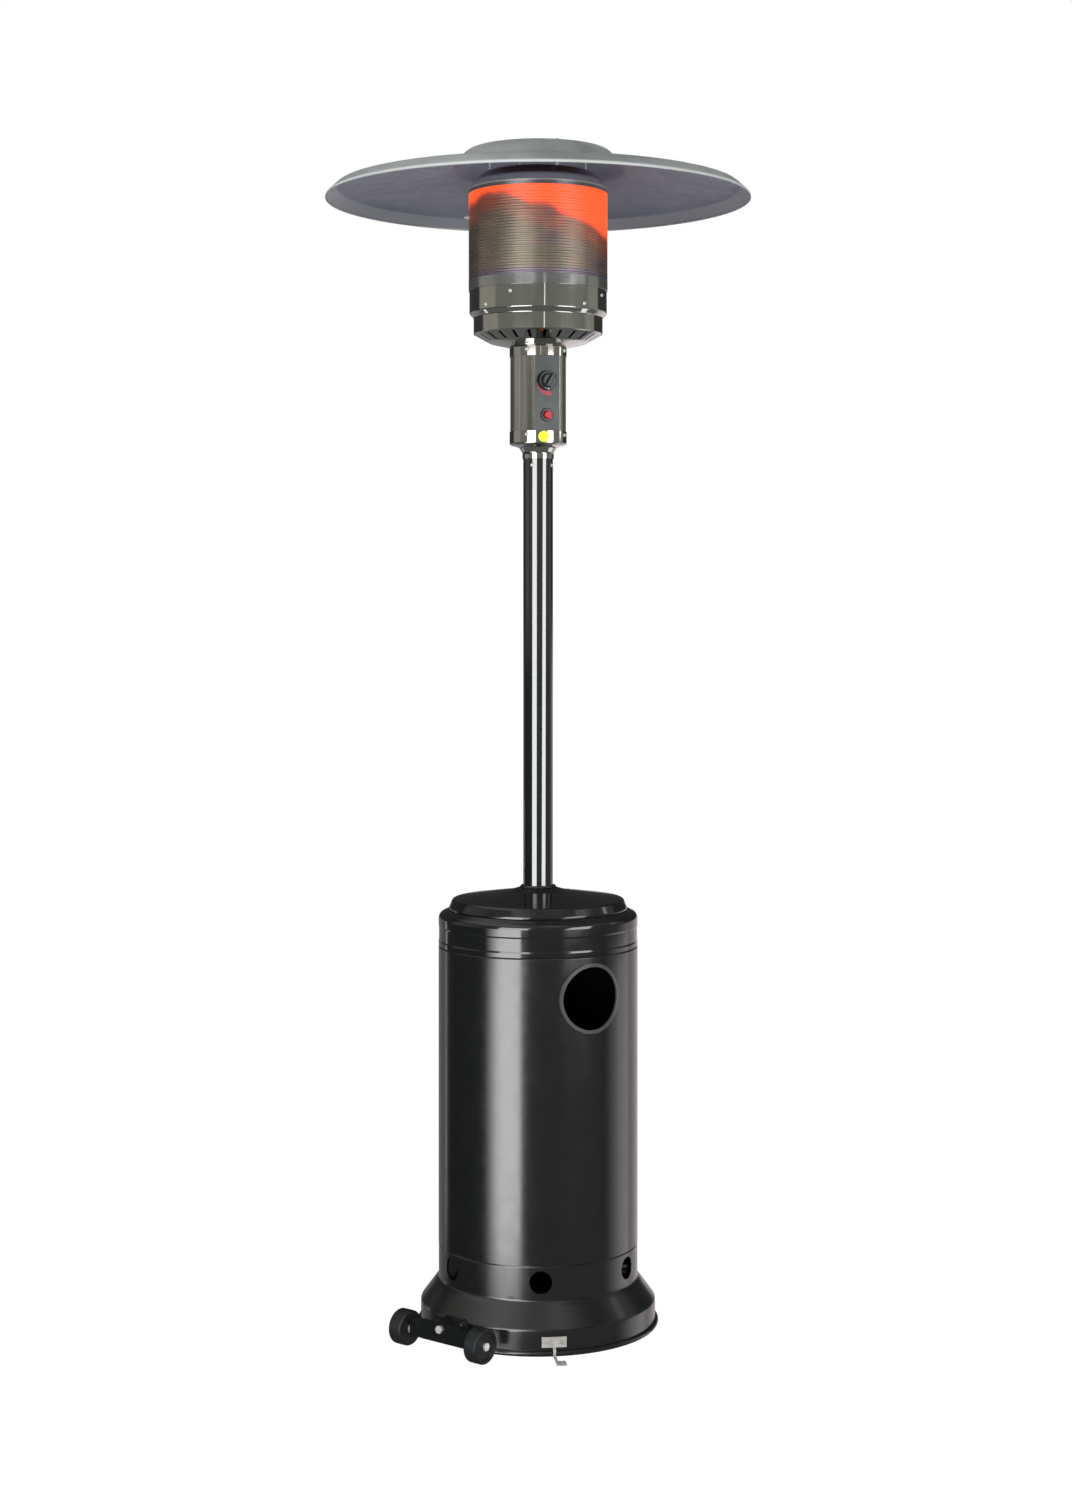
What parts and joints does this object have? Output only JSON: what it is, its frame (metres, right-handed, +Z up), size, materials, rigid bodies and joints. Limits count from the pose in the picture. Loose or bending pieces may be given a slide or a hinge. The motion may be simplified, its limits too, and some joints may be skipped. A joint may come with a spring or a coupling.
{
  "type": "gas patio heater",
  "caption": "Free-standing mushroom patio heater: domed reflector over a mesh emitter, tall post, lift-up gas bottle shroud, wheels and a floor anchor clip.",
  "frame": {"origin": "centre of the round base on the floor", "axes": "+Z up along the post; -Y is the front, the side of the control panel; +X is to the right seen from the front"},
  "size_m": [0.813, 0.813, 2.246],
  "materials": {
    "black_enamel": "gloss",
    "zinc_steel": "satin",
    "stainless": "polished",
    "emitter_mesh": "satin",
    "spun_aluminium": "satin",
    "black_panel": "satin",
    "black_plastic": "satin",
    "red_plastic": "gloss",
    "yellow_label": "gloss",
    "cast_alloy": "matte",
    "brass": "satin",
    "copper": "satin",
    "ceramic": "matte",
    "lead_rubber": "matte"
  },
  "bodies": {
    "stand": {"base_skirt": "black_enamel", "base_plate": "black_enamel", "strut_1": "black_enamel", "strut_2": "black_enamel", "strut_3": "black_enamel", "strut_bolts": "zinc_steel", "post_mount": "black_enamel", "post_clamp_bolts": "zinc_steel", "post": "black_enamel", "wheel_arm": "black_enamel", "arm_rivets": "zinc_steel", "wheel_bar": "black_enamel", "bar_bolt": "zinc_steel", "wheel_axle": "zinc_steel", "axle_nuts": "zinc_steel", "ground_anchor_clip": "zinc_steel", "anchor_screws": "zinc_steel", "head_adapter_sleeve": "zinc_steel", "post_top_screws": "zinc_steel", "lower_cup": "stainless", "control_housing": "stainless", "control_panel": "black_panel", "upper_collar": "stainless", "housing_screws": "zinc_steel", "round_sticker": "yellow_label", "gas_valve_body": "cast_alloy", "valve_bracket": "zinc_steel", "gas_inlet_fitting": "brass", "tilt_switch": "black_plastic", "piezo_igniter_body": "black_plastic", "igniter_bezel": "black_plastic", "ignition_lead": "lead_rubber", "burner_supply_pipe": "copper", "injector": "brass", "mixing_tube": "stainless", "burner_head": "stainless", "burner_pan": "stainless", "pilot_burner": "stainless", "pilot_pipe": "copper", "thermocouple": "copper", "ignition_electrode": "ceramic", "burner_dish": "stainless", "burner_band": "stainless", "band_screws": "zinc_steel", "emitter_screen": "emitter_mesh", "screen_seam_bolt": "zinc_steel", "emitter_top_cap": "stainless", "reflector_studs": "zinc_steel", "stud_nuts": "zinc_steel", "reflector": "spun_aluminium"},
    "shroud": {"shroud_shell": "black_enamel", "shroud_top_ring": "black_enamel", "shroud_lid": "black_enamel", "lid_post_bush": "black_plastic"},
    "wheel_left": {"wheel_left": "black_plastic"},
    "wheel_right": {"wheel_right": "black_plastic"},
    "knob_push": {"spindle_washer": "zinc_steel"},
    "knob": {"control_knob": "black_plastic", "valve_spindle": "zinc_steel"},
    "igniter": {"igniter_button": "red_plastic"}
  },
  "joints": [
    {"name": "shroud_lift", "type": "slide", "parent": "stand", "child": "shroud", "axis": [0, 0, 1], "range_m": [0, 0.795]},
    {"name": "wheel_left_spin", "type": "hinge", "parent": "stand", "child": "wheel_left", "pos_m": [-0.24335, -0.1405, 0.036], "axis": [0.5, -0.866, 0], "continuous": true},
    {"name": "wheel_right_spin", "type": "hinge", "parent": "stand", "child": "wheel_right", "pos_m": [-0.24335, -0.1405, 0.036], "axis": [0.5, -0.866, 0], "continuous": true},
    {"name": "knob_press", "type": "slide", "parent": "stand", "child": "knob_push", "axis": [0, 1, 0], "range_m": [0, 0.0035], "stiffness_N_per_m": 1500, "springref_m": -0.001},
    {"name": "knob_turn", "type": "hinge", "parent": "knob_push", "child": "knob", "pos_m": [0, -0.0515, 1.795], "axis": [0, -1, 0], "range_deg": [0, 200]},
    {"name": "igniter_press", "type": "slide", "parent": "stand", "child": "igniter", "axis": [0, 1, 0], "range_m": [0, 0.005], "stiffness_N_per_m": 2000, "springref_m": -0.001}
  ]
}
